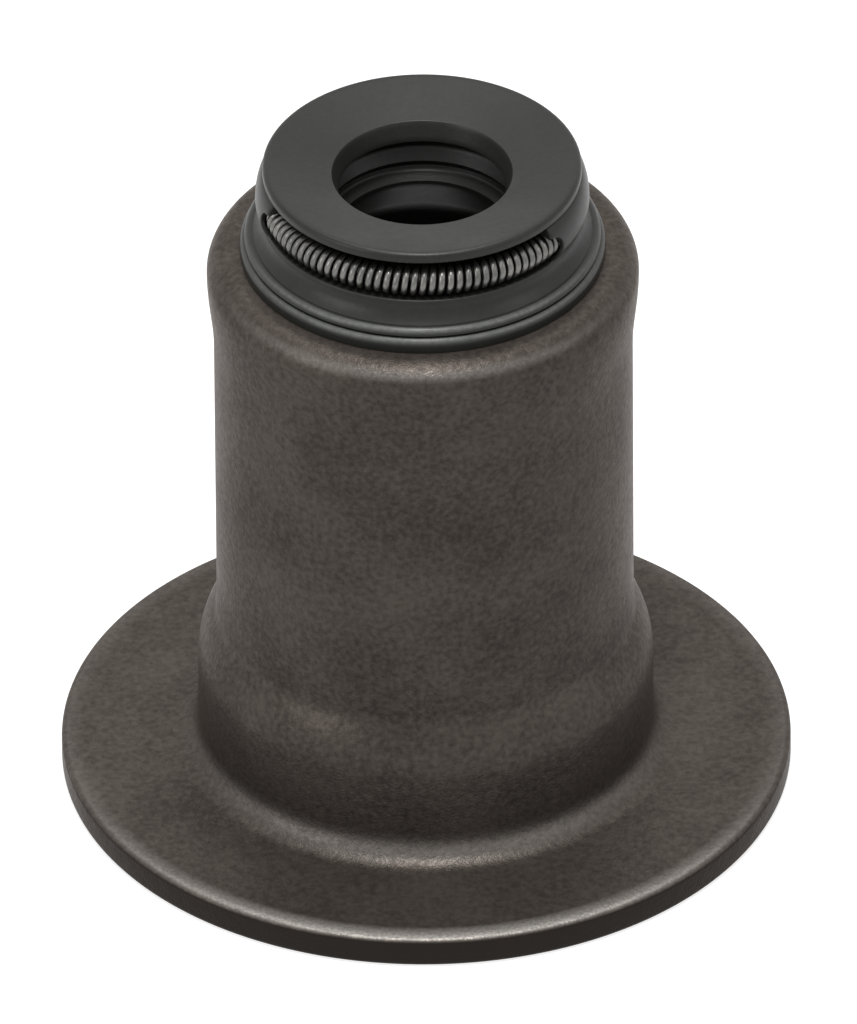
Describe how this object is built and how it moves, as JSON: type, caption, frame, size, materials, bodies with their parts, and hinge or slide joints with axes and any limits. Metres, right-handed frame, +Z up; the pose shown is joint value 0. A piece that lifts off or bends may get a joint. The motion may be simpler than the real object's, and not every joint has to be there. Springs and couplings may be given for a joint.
{
  "type": "valve stem seal",
  "caption": "Valve stem seal with integrated spring seat: drawn steel sleeve on a wide round flange, topped by a moulded rubber sealing head with a coiled garter spring.",
  "frame": {"origin": "on the valve's axis, at the centre of the flange's underside", "axes": "+Z up along the valve stem, from the flange to the sealing lip; -Y faces the picture's camera"},
  "size_m": [0.034, 0.034, 0.0335],
  "materials": {
    "phosphated_steel": "dark brown-grey phosphate coating, fine mottled grain, satin",
    "seal_rubber": "dark grey moulded elastomer, satin",
    "spring_steel": "bright drawn spring wire"
  },
  "bodies": {
    "root": {"steel_shell": "phosphated_steel", "rubber_seal": "seal_rubber", "garter_spring": "spring_steel"}
  },
  "joints": []
}
